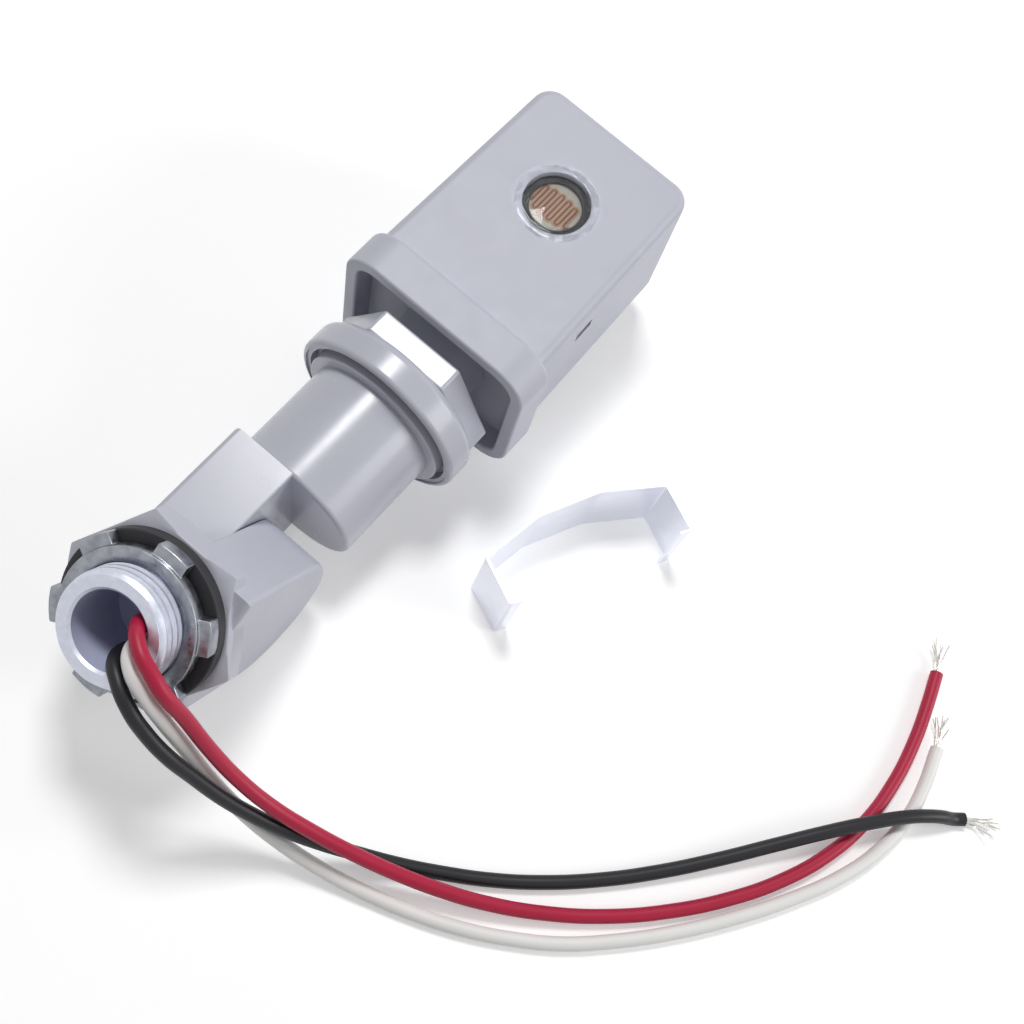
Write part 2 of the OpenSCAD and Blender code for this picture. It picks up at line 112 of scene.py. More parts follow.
room = bpy.data.worlds.new("pale_room")
scene.world = room
room.use_nodes = True
tree = room.node_tree
tree.nodes.clear()
lit = add_node(tree, "ShaderNodeBackground", values={"Color": linear("#ffffff"), "Strength": room_light})
seen = add_node(tree, "ShaderNodeBackground", values={"Color": linear("#ffffff"), "Strength": room_seen})
shown = add_node(tree, "ShaderNodeMixShader", {0: seen_directly(tree), 1: lit.outputs[0], 2: seen.outputs[0]})
add_node(tree, "ShaderNodeOutputWorld", {"Surface": shown.outputs[0]})

floor_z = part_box("mounting_stem")[0][2]
bpy.ops.mesh.primitive_plane_add(size=paper_size, location=(0, 0, floor_z - paper_gap))
floor = bpy.context.object
floor.name = "paper_floor"
paper = bpy.data.materials.new("white_paper")
paper.use_nodes = True
tree = paper.node_tree
surface = tree.nodes["Principled BSDF"]
surface.inputs["Base Color"].default_value = linear("#f6f6f6")
surface.inputs["Roughness"].default_value = 0.9
surface.inputs["Specular IOR Level"].default_value = 0
surface.inputs["Emission Color"].default_value = linear("#ffffff")
where = add_node(tree, "ShaderNodeTexCoord")
away = add_node(tree, "ShaderNodeVectorMath", {0: where.outputs["Object"]}, operation="LENGTH")
glow = add_node(tree, "ShaderNodeMapRange", {"Value": away.outputs["Value"]},
                {"From Min": 0.2, "From Max": 0.8, "To Min": near_glow, "To Max": far_glow})
backlit = add_node(tree, "ShaderNodeMath", {0: seen_directly(tree), 1: glow.outputs[0]}, operation="MULTIPLY")
tree.links.new(backlit.outputs[0], surface.inputs["Emission Strength"])
floor.data.materials.append(paper)

lamps = {
    "window_lamp": {"place": Vector((0.42, -0.72, 0.34)), "size": 0.4, "power": 2.6},
    "ceiling_lamp": {"place": Vector((0.245, 0.175, 0.74)), "size": 0.18, "power": 3.1},
}
for name, plan in lamps.items():
    lamp = bpy.data.lights.new(name, "AREA")
    lamp.size = plan["size"]
    lamp.energy = plan["power"]
    holder = bpy.data.objects.new(name, lamp)
    bpy.context.collection.objects.link(holder)
    holder.location = plan["place"]
    holder.rotation_euler = (plan["place"] - lamp_aim).to_track_quat("Z", "Y").to_euler()

# Lead wires. Three stranded copper leads in smooth PVC leave through the nipple, drop to the floor
# and lie in one loose curve. Each is a single smooth line, as thick as its insulation.
wire_d = 0.0028
routes = {
    "red": [
        (5.5, -3.3, -3), (1.9, -3.3, 0.5), (-1.6, -3, 5.3), (-4.6, -3.1, 10.1), (-7.9, -6.5, 11.7),
        (-9.4, -10.5, 11), (-10.1, -14, 8.9), (-9.5, -18, 3.4), (-9.1, -23.7, -3.8),
        (-8.3, -29.9, -10.4), (-6.8, -36.9, -15.9), (-4.5, -44.6, -20.1), (-1.9, -52.4, -23.2),
        (1, -60.2, -25.5), (4.3, -68.1, -27.1), (8.6, -76.6, -28.5), (14.8, -86.3, -29.6),
        (22.4, -95.8, -30.2), (31.1, -104.4, -30.4), (40.8, -112.1, -30.4), (51.1, -118.4, -30.4),
        (61.9, -122.9, -30.4), (72.2, -125.1, -30.4), (82.8, -125.4, -30.4), (93.5, -124.1, -30.4),
        (102.1, -122.1, -30.4), (109.7, -119.9, -30.4),
    ],
    "black": [
        (3.2, -3.3, -5.3), (-0.4, -3.3, -1.9), (-5.5, -3.2, 1.6), (-10.3, -3.5, 5.3),
        (-13.1, -6.9, 6.4), (-14.9, -11.2, 5), (-15.3, -14.9, 1.8), (-15, -19.7, -2.2),
        (-13.7, -24.3, -7), (-12.2, -29.3, -11.9), (-10.2, -34.3, -16.5), (-7.6, -40, -20.7),
        (-4.2, -46.5, -24.4), (-0.3, -53.4, -27.1), (3.7, -60.4, -28.9), (8, -67.3, -29.9),
        (13, -74.7, -30.4), (19.1, -82.4, -30.4), (26.9, -90.6, -30.4), (35.9, -98.6, -30.2),
        (45.1, -105.8, -29.6), (55.1, -113.1, -28.6), (64.6, -120.1, -27.5), (70.9, -125, -27.1),
        (77.2, -130.3, -27.1), (80.3, -133.3, -27.6), (83.4, -136.6, -28.8), (85.6, -139.2, -30.4),
        (87.1, -141, -30.4),
    ],
    "white": [
        (4.4, -5.8, -4.1), (0.7, -5.8, -0.7), (-3.5, -4.9, 3.6), (-7.4, -4.5, 6.9),
        (-10.7, -7.5, 8.5), (-12, -11.9, 6.9), (-12, -15.6, 2.3), (-11.5, -19.8, -4.1),
        (-11, -25.9, -12.4), (-10.1, -32.9, -19.6), (-8.6, -41.4, -25.3), (-6.5, -50.3, -28.8),
        (-4.1, -59, -30.2), (-1.4, -67, -30.4), (2.4, -75.9, -30.4), (7.4, -84.7, -30.4),
        (12.8, -92.3, -30.4), (19.6, -99.5, -30.4), (28.2, -107.2, -30.4), (38, -114.6, -30.4),
        (48.9, -121.6, -30.4), (59.6, -127.2, -30.4), (69.2, -130.4, -30.4), (78.5, -131.5, -30.4),
        (86.7, -130.8, -30.4), (95.7, -128.7, -30.4),
    ],
}


def noise(made, size, detail=2.0, stretch=None):
    """Noise in a material, with spots of this size in metres, that stays with the piece."""
    tree = made.node_tree
    place = add_node(tree, "ShaderNodeTexCoord").outputs["Object"]
    if stretch:
        place = add_node(tree, "ShaderNodeMapping", {"Vector": place}, {"Scale": stretch}).outputs[0]
    spots = add_node(tree, "ShaderNodeTexNoise", {"Vector": place}, {"Scale": 1 / size, "Detail": detail})
    return spots.outputs["Fac"]


def two_tone(name, first, second, size, detail=2.0, stretch=None, **looks):
    """A material that clouds between two colours, and the noise that does it."""
    made = bpy.data.materials.new(name)
    made.use_nodes = True
    tree = made.node_tree
    skin = tree.nodes["Principled BSDF"]
    for look, value in looks.items():
        skin.inputs[look.capitalize()].default_value = value
    cloud = noise(made, size, detail, stretch)
    tones = {6: linear(first), 7: linear(second)}
    mix = add_node(tree, "ShaderNodeMix", {0: cloud}, tones, data_type="RGBA")
    tree.links.new(mix.outputs[2], skin.inputs["Base Color"])
    return made, cloud


def bumped(made, height, strength, depth):
    """Gives a material a fine relief."""
    tree = made.node_tree
    relief = add_node(tree, "ShaderNodeBump", {"Height": height}, {"Strength": strength, "Distance": depth})
    tree.links.new(relief.outputs[0], tree.nodes["Principled BSDF"].inputs["Normal"])


def pvc(name, colour, deep):
    """Extruded PVC: a soft satin skin with a fine grain and small changes of tone."""
    made, _ = two_tone(name, deep, colour, 0.012, 3.0, roughness=0.42)
    bumped(made, noise(made, 0.0006), 0.12, 0.00008)
    made.node_tree.nodes["Principled BSDF"].inputs["Specular IOR Level"].default_value = 0.35
    return made


def curve_object(name, thickness, roundness, finish):
    """An empty round line of this thickness, with capped ends."""
    line = bpy.data.curves.new(name, "CURVE")
    line.dimensions = "3D"
    line.bevel_depth = thickness / 2
    line.bevel_resolution = roundness
    line.use_fill_caps = True
    line.materials.append(finish)
    made = bpy.data.objects.new(name, line)
    bpy.context.collection.objects.link(made)
    return made


def add_smooth_line(line, points):
    """Adds a smooth run through these points to a line."""
    spline = line.splines.new("BEZIER")
    spline.bezier_points.add(len(points) - 1)
    for knot, at in zip(spline.bezier_points, points):
        knot.co = at
        knot.handle_left_type = "AUTO"
        knot.handle_right_type = "AUTO"


insulation = {
    "red": pvc("red_pvc", "#bf2047", "#a91839"),
    "black": pvc("black_pvc", "#191a20", "#101014"),
    "white": pvc("white_pvc", "#faf9f7", "#f1f0ed"),
}
leads = {}
for colour, points in routes.items():
    lead = curve_object(colour + "_lead", wire_d, 6, insulation[colour])
    lead.data.resolution_u = 8
    add_smooth_line(lead.data, [Vector(at) / 1000 for at in points])
    leads[colour] = lead

# Stripped ends. The last few millimetres of each lead are bare: fine tinned copper strands
# that were cut with pliers and have splayed apart.
strand_d = 0.00026
strand_count = 11
bundle_r = 0.00046
turn_step = 2.4
splay = 0.0014
lift_height = 0.0012
shortest = 0.0036
spread_of_lengths = 0.0028
sunk = 0.001
toward = {
    "red": (113.5, -118.8, -30.4),
    "black": (88.7, -142.9, -30.4),
    "white": (100.1, -127.7, -30.4),
}
lean = {"red": -0.0016, "black": 0.0018, "white": -0.0014}
up = Vector((0, 0, 1))
tinned, _ = two_tone("tinned_copper", "#bdbab2", "#e6e5e0", 0.0008, metallic=1, roughness=0.3)


def only(piece):
    """Leaves one piece selected and active."""
    bpy.ops.object.select_all(action="DESELECT")
    piece.select_set(True)
    bpy.context.view_layer.objects.active = piece


def as_mesh(piece):
    """Turns a line into a mesh."""
    only(piece)
    bpy.ops.object.convert(target="MESH")
    return bpy.context.object


for colour, next_point in toward.items():
    start = Vector(routes[colour][-1]) / 1000
    along = (Vector(next_point) / 1000 - start).normalized()
    across = along.cross(up).normalized()
    strands = curve_object(colour + "_bare_strands", strand_d, 2, tinned)
    strands.data.resolution_u = 5
    for k in range(strand_count):
        turn = turn_step * k
        out = bundle_r * math.sqrt((k + 0.5) / strand_count)
        offset = across * (out * math.cos(turn)) + up * (out * math.sin(turn))
        fan = across * (splay * math.sin(1.7 * k + len(colour)) + lean[colour])
        lift = up * (lift_height * (1 + math.sin(2.9 * k)))
        reach = shortest + spread_of_lengths * abs(math.sin(1.1 * k + 1))
        knots = (
            start - along * sunk + offset,
            start + along * reach * 0.5 + offset * 1.6 + fan * 0.3,
            start + along * reach + offset * 2 + fan + lift,
        )
        add_smooth_line(strands.data, [(p.x, p.y, max(p.z, floor_z + strand_d / 2)) for p in knots])
    strands = as_mesh(strands)
    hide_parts(colour + "_strands")
    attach(strands, "stem")
    lead = leads[colour]
    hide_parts(colour + "_wire")
    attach(lead, "stem")

# Mounting stem. One die casting: a threaded nipple, a hexagon and half of the knuckle. It is sprayed
# grey except for the nipple, whose mouth and thread are bare machined metal. Modelled in millimetres on
# its own axis, with the seating face at zero and the pivot above it, and then set in the frame.
joint = frame["record"]["behaviour"]["joints"][0]
swivel = Vector(joint["pos_m"])
nipple = Vector(frame["record"]["mounts"][0]["axis"]).normalized()
stem_place = Matrix.Rotation(math.atan2(-nipple.x, -nipple.z), 4, "Y")
hex_flats = 31.75
hex_corner = hex_flats / 2 / math.cos(math.radians(30))
stem_hex = 6
stem_hex_edge = 0.35
knuckle_r = 14
knuckle_foot = 1
knuckle_edge = 1.2
lap = 0.15
lap_edge = 0.3
pivot_up = 26
thread_r = 10.45
thread_pitch = 25.4 / 14
thread_depth = 0.85
thread_root = 0.4
thread_overcut = 0.3
thread_turns = 5
thread_steps = 72
nipple_end = -11.7
nipple_chamfer = 0.9
bore_r = 7.2
bore_floor = 3.5
bore_chamfer = 0.5
passage_r = 3.4
passage_end = 18.6
passage_y = -4
shade_angle = math.radians(32)
weld = 0.003


def outlined(name, points):
    """A flat face with these corners, from a circle whose points are moved."""
    bpy.ops.object.select_all(action="DESELECT")
    bpy.ops.mesh.primitive_circle_add(vertices=len(points), radius=1, fill_type="NGON")
    shape = bpy.context.object
    shape.name = name
    for corner, at in zip(shape.data.vertices, points):
        corner.co = at
    return shape


def extruded(name, points, along):
    """A solid drawn from an outline by a straight extrusion."""
    shape = outlined(name, points)
    bpy.ops.object.mode_set(mode="EDIT")
    bpy.ops.mesh.select_all(action="SELECT")
    bpy.ops.mesh.extrude_region_move(TRANSFORM_OT_translate={"value": along})
    bpy.ops.mesh.select_all(action="SELECT")
    bpy.ops.mesh.normals_make_consistent(inside=False)
    bpy.ops.object.mode_set(mode="OBJECT")
    return shape


def turned(name, profile, steps=96):
    """A solid turned about Z from a closed profile of radii and heights."""
    shape = outlined(name, [(r, 0, z) for r, z in profile])
    bpy.ops.object.mode_set(mode="EDIT")
    bpy.ops.mesh.select_all(action="SELECT")
    bpy.ops.mesh.delete(type="ONLY_FACE")
    bpy.ops.mesh.select_all(action="SELECT")
    bpy.ops.mesh.spin(steps=steps, angle=2 * math.pi, center=(0, 0, 0), axis=(0, 0, 1))
    bpy.ops.mesh.select_all(action="SELECT")
    bpy.ops.mesh.remove_doubles(threshold=0.001)
    bpy.ops.mesh.delete_loose()
    bpy.ops.mesh.select_all(action="SELECT")
    bpy.ops.mesh.normals_make_consistent(inside=False)
    bpy.ops.object.mode_set(mode="OBJECT")
    return shape


def arc(middle, radius, start, end, steps=6):
    """Points of an arc in a plane, by its angles in degrees."""
    swings = [math.radians(start + (end - start) * k / steps) for k in range(steps + 1)]
    return [(middle[0] + radius * math.cos(t), middle[1] + radius * math.sin(t)) for t in swings]


def rod_profile(radius, start, end):
    """The profile of a plain rod, to be turned."""
    return [(0, start), (radius, start), (radius, end), (0, end)]


def rounded(piece, wanted, width, steps=4):
    """Bevels the edges whose two ends both pass the test."""
    only(piece)
    bpy.context.tool_settings.mesh_select_mode = (False, True, False)
    bpy.ops.object.mode_set(mode="EDIT")
    bpy.ops.mesh.select_all(action="DESELECT")
    bpy.ops.object.mode_set(mode="OBJECT")
    points = piece.data.vertices
    for edge in piece.data.edges:
        edge.select = all(wanted(points[k].co) for k in edge.vertices)
    bpy.ops.object.mode_set(mode="EDIT")
    bpy.ops.mesh.bevel(offset=width, segments=steps, affect="EDGES", clamp_overlap=False)
    bpy.ops.object.mode_set(mode="OBJECT")
    return piece


def combined(piece, other, how="UNION"):
    """Joins another solid to a piece, or cuts with it, and takes the other away."""
    only(piece)
    work = piece.modifiers.new("joining", "BOOLEAN")
    work.operation = how
    work.solver = "EXACT"
    work.object = other
    bpy.ops.object.modifier_apply(modifier="joining")
    bpy.data.objects.remove(other)
    return piece


def set_down(piece, place):
    """Takes a piece from millimetres on its own axis to its place in the frame, with smooth round faces."""
    only(piece)
    bpy.ops.object.mode_set(mode="EDIT")
    bpy.ops.mesh.select_all(action="SELECT")
    bpy.ops.mesh.remove_doubles(threshold=weld)
    bpy.ops.mesh.dissolve_degenerate(threshold=weld)
    bpy.ops.object.mode_set(mode="OBJECT")
    piece.data.transform(place @ Matrix.Scale(0.001, 4))
    bpy.ops.object.shade_smooth_by_angle(angle=shade_angle)
    even = piece.modifiers.new("even_shading", "WEIGHTED_NORMAL")
    even.weight = 100
    even.keep_sharp = True
    bpy.ops.object.modifier_apply(modifier="even_shading")
    return piece


def shined(made, source, low, high):
    """Lets the roughness of a material change between two values."""
    tree = made.node_tree
    span = add_node(tree, "ShaderNodeMapRange", {"Value": source}, {"To Min": low, "To Max": high})
    tree.links.new(span.outputs[0], tree.nodes["Principled BSDF"].inputs["Roughness"])


def sprayed(name, colour, pale, roughness, grain_mm, depth):
    """A coat or moulding: one colour with faint clouding, a fine orange-peel skin and a soft gloss."""
    made, _ = two_tone(name, colour, pale, 0.009, 4.0)
    shined(made, noise(made, 0.004, 5.0), roughness - 0.06, roughness + 0.06)
    bumped(made, noise(made, grain_mm / 1000), 0.25, depth)
    made.node_tree.nodes["Principled BSDF"].inputs["IOR"].default_value = 1.5
    return made


cast_paint = sprayed("sprayed_die_casting", "#bcbdc9", "#c4c6d1", 0.45, 0.7, 0.00003)
# The bore's coat is rough like the casting, but its colour is lighter and bluer than the outside paint:
# painted fill light that stands in for the light reaching into the bore.
bore_painted_fill = sprayed("rough_bore_painted_fill", "#bcc2de", "#c9cfe8", 0.6, 0.5, 0.00008)
bare_metal, marks = two_tone("machined_aluminium", "#bfc3d1", "#dfe2ee", 0.0012, 5.0, metallic=0.75)
shined(bare_metal, marks, 0.30, 0.48)

hexagon = [(x, y, 0) for x, y in arc((0, 0), hex_corner, 30, 330, 5)]
stem = extruded("cast_stem", hexagon, (0, 0, stem_hex))
rounded(stem, lambda p: True, stem_hex_edge, 3)
widest = hex_flats / 2 + stem_hex / 2 * math.tan(math.radians(60))
chamfers = turned("hexagon_chamfers", [
    (0, 0), (hex_flats / 2, 0), (widest, stem_hex / 2), (hex_flats / 2, stem_hex), (0, stem_hex)
])
combined(stem, chamfers, "INTERSECT")
tongue = arc((0, pivot_up), knuckle_r, 0, 180, 48) + [(-knuckle_r, knuckle_foot), (knuckle_r, knuckle_foot)]
half_knuckle = extruded("stem_half", [(x, -knuckle_r, z) for x, z in tongue], (0, knuckle_r - lap, 0))
rounded(half_knuckle, lambda p: p.y < 0.01 - knuckle_r, knuckle_edge, 5)
rounded(half_knuckle, lambda p: p.y > -lap - 0.01, lap_edge, 3)
combined(stem, half_knuckle)
pipe = turned("nipple", [
    (0, knuckle_foot), (thread_r, knuckle_foot), (thread_r, nipple_end + nipple_chamfer),
    (thread_r - 0.7, nipple_end), (0, nipple_end)
], 90)
crest_half = thread_pitch * 0.45
cutter = outlined("thread_cutter", [
    (thread_r + thread_overcut, 0, -crest_half), (thread_r + thread_overcut, 0, crest_half),
    (thread_r - thread_depth, 0, thread_root / 2), (thread_r - thread_depth, 0, -thread_root / 2)
])
bpy.ops.object.mode_set(mode="EDIT")
bpy.ops.mesh.select_all(action="SELECT")
bpy.ops.mesh.delete(type="ONLY_FACE")
bpy.ops.object.mode_set(mode="OBJECT")
winding = cutter.modifiers.new("winding", "SCREW")
winding.axis = "Z"
winding.screw_offset = thread_pitch
winding.iterations = thread_turns
winding.steps = thread_steps
winding.render_steps = thread_steps
winding.use_merge_vertices = True
bpy.ops.object.modifier_apply(modifier="winding")
bpy.ops.object.mode_set(mode="EDIT")
bpy.ops.mesh.select_all(action="SELECT")
bpy.ops.mesh.fill_holes(sides=4)
bpy.ops.mesh.quads_convert_to_tris()
bpy.ops.mesh.normals_make_consistent(inside=False)
bpy.ops.object.mode_set(mode="OBJECT")
off_the_seams = Matrix.Rotation(0.023, 4, "Z")
cutter.data.transform(Matrix.Translation((0, 0, nipple_end - 1.2)) @ off_the_seams)
combined(pipe, cutter, "DIFFERENCE")
combined(stem, pipe)
combined(stem, turned("bore", [
    (0, bore_floor), (bore_r, bore_floor), (bore_r, nipple_end + bore_chamfer),
    (bore_r + bore_chamfer, nipple_end), (bore_r + bore_chamfer, nipple_end - 1), (0, nipple_end - 1)
]), "DIFFERENCE")
passage = turned("wire_passage", rod_profile(passage_r, 0, passage_end), 48)
passage.data.transform(Matrix.Translation((0, passage_y, 0)))
combined(stem, passage, "DIFFERENCE")
for finish in (cast_paint, bare_metal, bore_painted_fill):
    stem.data.materials.append(finish)
# Faces in the bore take the coat with the painted fill light, the nipple's faces take bare metal and the rest
# is sprayed.
for face in stem.data.polygons:
    reach = math.hypot(face.center.x, face.center.y)
    in_bore = reach < bore_r + 0.1 and nipple_end + 0.6 < face.center.z < bore_floor + 0.1
    on_nipple = reach < thread_r + 0.1 and face.center.z < -0.05
    face.material_index = 2 if in_bore else 1 if on_nipple else 0
set_down(stem, stem_place)
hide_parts("mounting_stem")
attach(stem, "stem")

# Gasket. A flat ring of black rubber, punched from sheet, between the hexagon and the box wall.
gasket_t = 2.6
gasket_r = 15.5
gasket_hole = 10.55
gasket_edge = 0.4
rubber, dust = two_tone("black_rubber", "#131316", "#2a2a30", 0.002, 4.0, roughness=0.62)
bumped(rubber, dust, 0.3, 0.0001)
gasket = turned("rubber_gasket", arc((gasket_r - gasket_edge, gasket_edge - gasket_t), gasket_edge, 270, 360)
                + arc((gasket_r - gasket_edge, -gasket_edge), gasket_edge, 0, 90)
                + [(gasket_hole, 0), (gasket_hole, -gasket_t)])
gasket.data.materials.append(rubber)
set_down(gasket, stem_place)
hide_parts("sealing_gasket")
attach(gasket, "stem")

# Locknut. Stamped steel, zinc plated: six lugs bent back so that they bite the box, with a slightly
# mottled bright plating.
zinc, mottle = two_tone("zinc_plate", "#565963", "#b3b6bd", 0.0022, 6.0, metallic=1)
where = add_node(zinc.node_tree, "ShaderNodeTexCoord")
spangle = add_node(zinc.node_tree, "ShaderNodeTexVoronoi", {"Vector": where.outputs["Object"]},
                   {"Scale": 1 / 0.0016})
shined(zinc, spangle.outputs["Distance"], 0.2, 0.42)
bumped(zinc, mottle, 0.2, 0.00008)


def rounded_copy(node, name, edge, steps=3):
    """A copy of a CAD piece with its loose triangles merged into flat faces and its edges rounded."""
    piece = bpy.data.objects.new(name, frame["nodes"][node].data.copy())
    piece.data.materials.clear()
    bpy.context.collection.objects.link(piece)
    only(piece)
    bpy.ops.object.mode_set(mode="EDIT")
    bpy.ops.mesh.select_all(action="SELECT")
    bpy.ops.mesh.remove_doubles(threshold=0.000002)
    bpy.ops.mesh.dissolve_limited(angle_limit=math.radians(1))
    bpy.ops.object.mode_set(mode="OBJECT")
    if edge:
        soften = piece.modifiers.new("soft_edge", "BEVEL")
        soften.width = edge
        soften.segments = steps
        soften.limit_method = "ANGLE"
        soften.angle_limit = math.radians(35)
        soften.use_clamp_overlap = False
        bpy.ops.object.modifier_apply(modifier="soft_edge")
    bpy.ops.object.shade_smooth_by_angle(angle=shade_angle)
    return piece


nut = rounded_copy("locknut", "stamped_locknut", 0.00025)
nut.data.materials.append(zinc)
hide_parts("locknut")
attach(nut, "stem")

# Pivot screw and washer. Plated steel: the screw goes in through the barrel's half of the knuckle and is
# driven into the stem's half, so the slotted head and its washer lie in the barrel's pocket.
for node in ("pivot_screw", "pivot_washer"):
    fixing = rounded_copy(node, "plated_" + node, 0.0002, 2)
    fixing.data.materials.append(zinc)
    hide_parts(node)
    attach(fixing, "stem")

# Barrel. One glossy grey moulding: the other half of the knuckle, the round barrel, its collar and the
# hexagon for the spanner. Modelled from the pivot along X, and then set in the frame with the head's tilt.
head_tilt = math.radians(6.744758)
head_turn = Matrix.Rotation(-head_tilt, 4, "Y")
head = Matrix.Translation(swivel) @ head_turn
along_head = Matrix(((0, 0, 1, 0), (1, 0, 0, 0), (0, 1, 0, 0), (0, 0, 0, 1)))
shoulder = 20.5
shoulder_edge = 0.9
ring_start = 43.8
ring_length = 7
ring_back = ring_start + ring_length
collar_r = 17.2
collar_step = 1
groove_depth = 2.2
hex_end = 56.3
barrel_edge = 1.0
barrel_hex_edge = 0.5
wire_way_r = 6
socket_start = 47.8
socket_r = 10.3
screw_pockets = ((6.2, 4.6), (2.45, 20))
barrel_plastic = sprayed("glossy_grey_moulding", "#bbbcc8", "#c2c4cf", 0.25, 1.1, 0.00001)
tongue = arc((0, 0), knuckle_r, 90, 270, 48) + [(shoulder, -knuckle_r), (shoulder, knuckle_r)]
barrel = extruded("moulded_barrel", [(x, lap, z) for x, z in tongue], (0, knuckle_r - lap, 0))
rounded(barrel, lambda p: p.y > knuckle_r - 0.01, barrel_edge, 5)
rounded(barrel, lambda p: p.y < lap + 0.01, lap_edge, 3)
tube = turned("barrel_tube", [
    (0, shoulder - 0.6), (knuckle_r - shoulder_edge, shoulder - 0.6)
] + arc((knuckle_r - shoulder_edge, shoulder + 0.3), shoulder_edge, -90, 0) + [
    (knuckle_r, ring_start - 1)
] + arc((collar_r - collar_step - 0.4, ring_start - 0.6), 0.4, 270, 360, 4) + [
    (collar_r - collar_step, ring_start + groove_depth), (collar_r, ring_start + groove_depth),
    (collar_r, ring_back + 0.2), (0, ring_back + 0.2)
])
tube.data.transform(along_head)
combined(barrel, tube)
hexagon = [(y, z, ring_back) for y, z in arc((0, 0), hex_corner, 0, 300, 5)]
spanner_hex = extruded("barrel_hexagon", hexagon, (0, 0, hex_end - ring_back))
rounded(spanner_hex, lambda p: True, barrel_hex_edge, 3)
spanner_hex.data.transform(along_head)
combined(barrel, spanner_hex)
hollow = turned("barrel_bore", [
    (0, shoulder + 3), (wire_way_r, shoulder + 3), (wire_way_r, socket_start), (socket_r, socket_start),
    (socket_r, hex_end + 3.7), (0, hex_end + 3.7)
])
hollow.data.transform(along_head)
combined(barrel, hollow, "DIFFERENCE")
from_outside = Matrix.Translation((0, knuckle_r + 1, 0)) @ Matrix.Rotation(math.radians(90), 4, "X")
for radius, depth in screw_pockets:
    pocket = turned("screw_pocket", rod_profile(radius, 0, depth + 1), 48)
    pocket.data.transform(from_outside)
    combined(barrel, pocket, "DIFFERENCE")
barrel.data.materials.append(barrel_plastic)
set_down(barrel, head)
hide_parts("swivel_barrel")
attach(barrel, "head")

# Flange ring. A thick glossy ring with round edges, pressed on the barrel's collar, with a narrow groove
# left between the two at the front.
ring_r = 19.4
ring_hole = collar_r + 0.1
front_edge = 1.1
back_edge = 2
ring_face = ring_start + 0.4
ring = turned("pressed_ring", [(ring_hole, ring_face), (ring_r - front_edge, ring_face)]
              + arc((ring_r - front_edge, ring_start + front_edge), front_edge, 270, 360, 8)
              + arc((ring_r - back_edge, ring_back - back_edge), back_edge, 0, 90, 8)
              + [(ring_hole, ring_back)], 128)
ring.data.transform(along_head)
ring.data.materials.append(barrel_plastic)
set_down(ring, head)
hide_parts("flange_ring")
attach(ring, "head")

# Base. The lower half of the housing: a skirt with an open mouth, a hollow nipple that screws into the
# barrel and a spigot that the cover is pushed over. Two rails on it hold the board.
mouth = 59.3
mouth_depth = 5
cover_start = 68
base_w = 44.6
base_d = 39
base_corner = 7.5
base_wall = 3
spigot_w = 35.66
spigot_d = 30.2
spigot_wall = 1.6
base_nipple_r = 10.2
base_nipple_end = 49
rail_at = 15
rail_half = 1.75
rail_low = -8.5
rail_high = -3.5
rail_length = 9.5
board_half = 15.1
board_low = -6.9
board_high = -5.1
housing_plastic = sprayed("grey_polycarbonate", "#bbbcc8", "#c3c5d1", 0.5, 0.4, 0.00005)


def rounded_box(name, width, depth, corner, start, end):
    """A prism along the head with the outline of a rectangle with round corners."""
    outline = []
    for side_y, side_z, turn in ((1, 1, 0), (-1, 1, 90), (-1, -1, 180), (1, -1, 270)):
        middle = (side_y * (width / 2 - corner), side_z * (depth / 2 - corner))
        outline += arc(middle, corner, turn, turn + 90, 10)
    return extruded(name, [(y, z, start) for y, z in outline], (0, 0, end - start))


def rectangle(left, right, low, high):
    """The corners of a rectangle in a plane."""
    return [(left, low), (right, low), (right, high), (left, high)]


skirt = rounded_box("housing_base", base_w, base_d, base_corner, mouth, cover_start)
room_corner = base_corner - base_wall
mouth_room = rounded_box("mouth_room", base_w - 2 * base_wall, base_d - 2 * base_wall, room_corner,
                         mouth - 1, mouth + mouth_depth)
combined(skirt, mouth_room, "DIFFERENCE")
rounded(skirt, lambda p: p.z < mouth + 0.01, 0.6, 3)
rounded(skirt, lambda p: p.z > cover_start - 0.01, 1.1, 5)
combined(skirt, turned("base_nipple", [
    (0, base_nipple_end), (base_nipple_r - 0.6, base_nipple_end), (base_nipple_r, base_nipple_end + 0.6),
    (base_nipple_r, mouth + mouth_depth + 1), (0, mouth + mouth_depth + 1)
]))
combined(skirt, rounded_box("spigot", spigot_w, spigot_d, 2, cover_start - 1, cover_start + 4))
spigot_room = rounded_box("spigot_room", spigot_w - 2 * spigot_wall, spigot_d - 2 * spigot_wall, 1,
                          cover_start, cover_start + 6)
combined(skirt, spigot_room, "DIFFERENCE")
base_bore = turned("base_bore", rod_profile(wire_way_r, base_nipple_end - 4, cover_start + 12), 64)
combined(skirt, base_bore, "DIFFERENCE")
for side in (-1, 1):
    outline = rectangle(side * rail_at - rail_half, side * rail_at + rail_half, rail_low, rail_high)
    rail = extruded("board_rail", [(y, z, cover_start - 0.5) for y, z in outline], (0, 0, rail_length))
    combined(skirt, rail)
outline = rectangle(-board_half, board_half, board_low, board_high)
board_slot = extruded("board_slot", [(y, z, cover_start) for y, z in outline], (0, 0, 40))
combined(skirt, board_slot, "DIFFERENCE")
skirt.data.transform(along_head)
skirt.data.materials.append(housing_plastic)
set_down(skirt, head)
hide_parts("base")
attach(skirt, "head")

